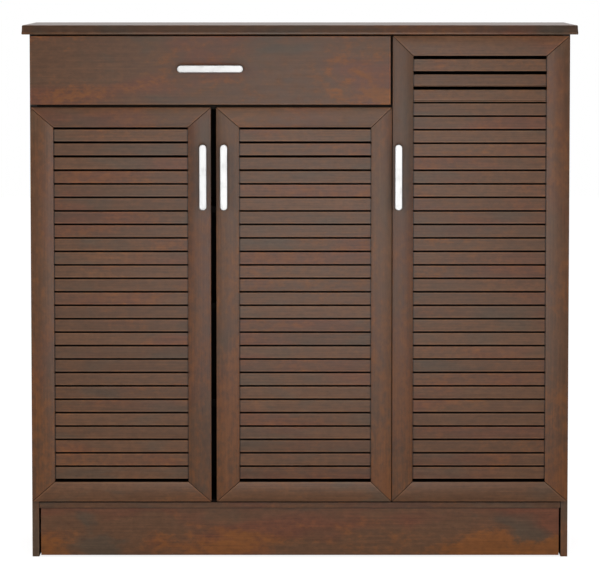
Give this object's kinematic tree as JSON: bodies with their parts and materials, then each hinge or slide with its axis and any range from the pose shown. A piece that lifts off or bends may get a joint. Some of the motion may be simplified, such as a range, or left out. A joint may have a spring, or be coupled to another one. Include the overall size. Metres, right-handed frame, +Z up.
{
  "type": "louvred shoe cabinet",
  "caption": "Free-standing dark walnut shoe cabinet with louvred mitred doors, a drawer and bar pulls.",
  "frame": {"origin": "on the floor at the middle of the overall box, pulls included", "axes": "+X along the width to the right seen from the front, +Y towards the back, +Z up; doors and drawer face -Y"},
  "size_m": [1.194, 0.416, 1.155],
  "materials": {
    "walnut_board": "dark walnut finish, satin",
    "wenge_board": "dark wenge laminate, matt",
    "walnut_top": "dark walnut finish, satin",
    "walnut_front": "dark walnut finish, satin",
    "walnut_frame": "dark walnut finish, satin",
    "walnut_slat": "dark walnut finish, satin",
    "drawer_board": "brown foil-wrapped board, matt",
    "back_board": "brown hardboard, matt",
    "pull_metal": "satin plated",
    "hardware_steel": "nickel-plated",
    "fastener_steel": "zinc-plated",
    "clear_rubber": "clear silicone"
  },
  "bodies": {
    "carcass": {"back_panel": "back_board", "bottom_panel": "walnut_board", "door_bumpers": "clear_rubber", "drawer_divider": "wenge_board", "front_top_rails": "wenge_board", "left_door_hinge_arms": "hardware_steel", "left_side_panel": "walnut_board", "middle_door_hinge_arms": "hardware_steel", "partition_panel": "wenge_board", "plinth_board": "walnut_board", "plinth_brace": "walnut_board", "plinth_rear_board": "walnut_board", "rear_top_rails": "wenge_board", "right_door_hinge_arms": "hardware_steel", "right_side_panel": "walnut_board", "shelf_pins": "fastener_steel", "slide_channels": "hardware_steel", "tall_bay_shelves": "wenge_board", "top_panel": "walnut_top", "wide_bay_shelves": "wenge_board"},
    "drawer": {"drawer_box_back": "drawer_board", "drawer_box_bottom": "drawer_board", "drawer_box_front": "drawer_board", "drawer_box_left_side": "drawer_board", "drawer_box_right_side": "drawer_board", "drawer_front": "walnut_front", "drawer_pull": "pull_metal", "slide_runners": "hardware_steel"},
    "left_door": {"left_door_bottom_rail": "walnut_frame", "left_door_hinge_cups": "hardware_steel", "left_door_left_stile": "walnut_frame", "left_door_pull": "pull_metal", "left_door_right_stile": "walnut_frame", "left_door_slats": "walnut_slat", "left_door_top_rail": "walnut_frame"},
    "middle_door": {"middle_door_bottom_rail": "walnut_frame", "middle_door_hinge_cups": "hardware_steel", "middle_door_left_stile": "walnut_frame", "middle_door_pull": "pull_metal", "middle_door_right_stile": "walnut_frame", "middle_door_slats": "walnut_slat", "middle_door_top_rail": "walnut_frame"},
    "right_door": {"right_door_bottom_rail": "walnut_frame", "right_door_hinge_cups": "hardware_steel", "right_door_left_stile": "walnut_frame", "right_door_pull": "pull_metal", "right_door_right_stile": "walnut_frame", "right_door_slats": "walnut_slat", "right_door_top_rail": "walnut_frame"},
    "left_door_links": {"left_door_hinge_links": "hardware_steel"},
    "middle_door_links": {"middle_door_hinge_links": "hardware_steel"},
    "right_door_links": {"right_door_hinge_links": "hardware_steel"}
  },
  "joints": [
    {"name": "drawer_slide", "type": "slide", "parent": "carcass", "child": "drawer", "axis": [0, -1, 0], "range_m": [0, 0.22]},
    {"name": "left_door_hinge", "type": "hinge", "parent": "carcass", "child": "left_door", "pos_m": [-0.5763, -0.177, 0.1235], "axis": [0, 0, -1], "range_deg": [0, 95]},
    {"name": "middle_door_hinge", "type": "hinge", "parent": "carcass", "child": "middle_door", "pos_m": [0.1941, -0.177, 0.1235], "axis": [0, 0, 1], "range_deg": [0, 95]},
    {"name": "right_door_hinge", "type": "hinge", "parent": "carcass", "child": "right_door", "pos_m": [0.5763, -0.177, 0.1235], "axis": [0, 0, 1], "range_deg": [0, 95]},
    {"name": "left_door_link_pivot", "type": "hinge", "parent": "carcass", "child": "left_door_links", "pos_m": [-0.5463, -0.17, 0.1235], "axis": [0, 0, 1], "range_deg": [0, 57]},
    {"name": "middle_door_link_pivot", "type": "hinge", "parent": "carcass", "child": "middle_door_links", "pos_m": [0.1641, -0.17, 0.1235], "axis": [0, 0, -1], "range_deg": [0, 57]},
    {"name": "right_door_link_pivot", "type": "hinge", "parent": "carcass", "child": "right_door_links", "pos_m": [0.5463, -0.17, 0.1235], "axis": [0, 0, -1], "range_deg": [0, 57]}
  ],
  "couplings": [
    {"joint": "left_door_link_pivot", "follows": "left_door_hinge", "ratio": 0.6},
    {"joint": "middle_door_link_pivot", "follows": "middle_door_hinge", "ratio": 0.6},
    {"joint": "right_door_link_pivot", "follows": "right_door_hinge", "ratio": 0.6}
  ]
}
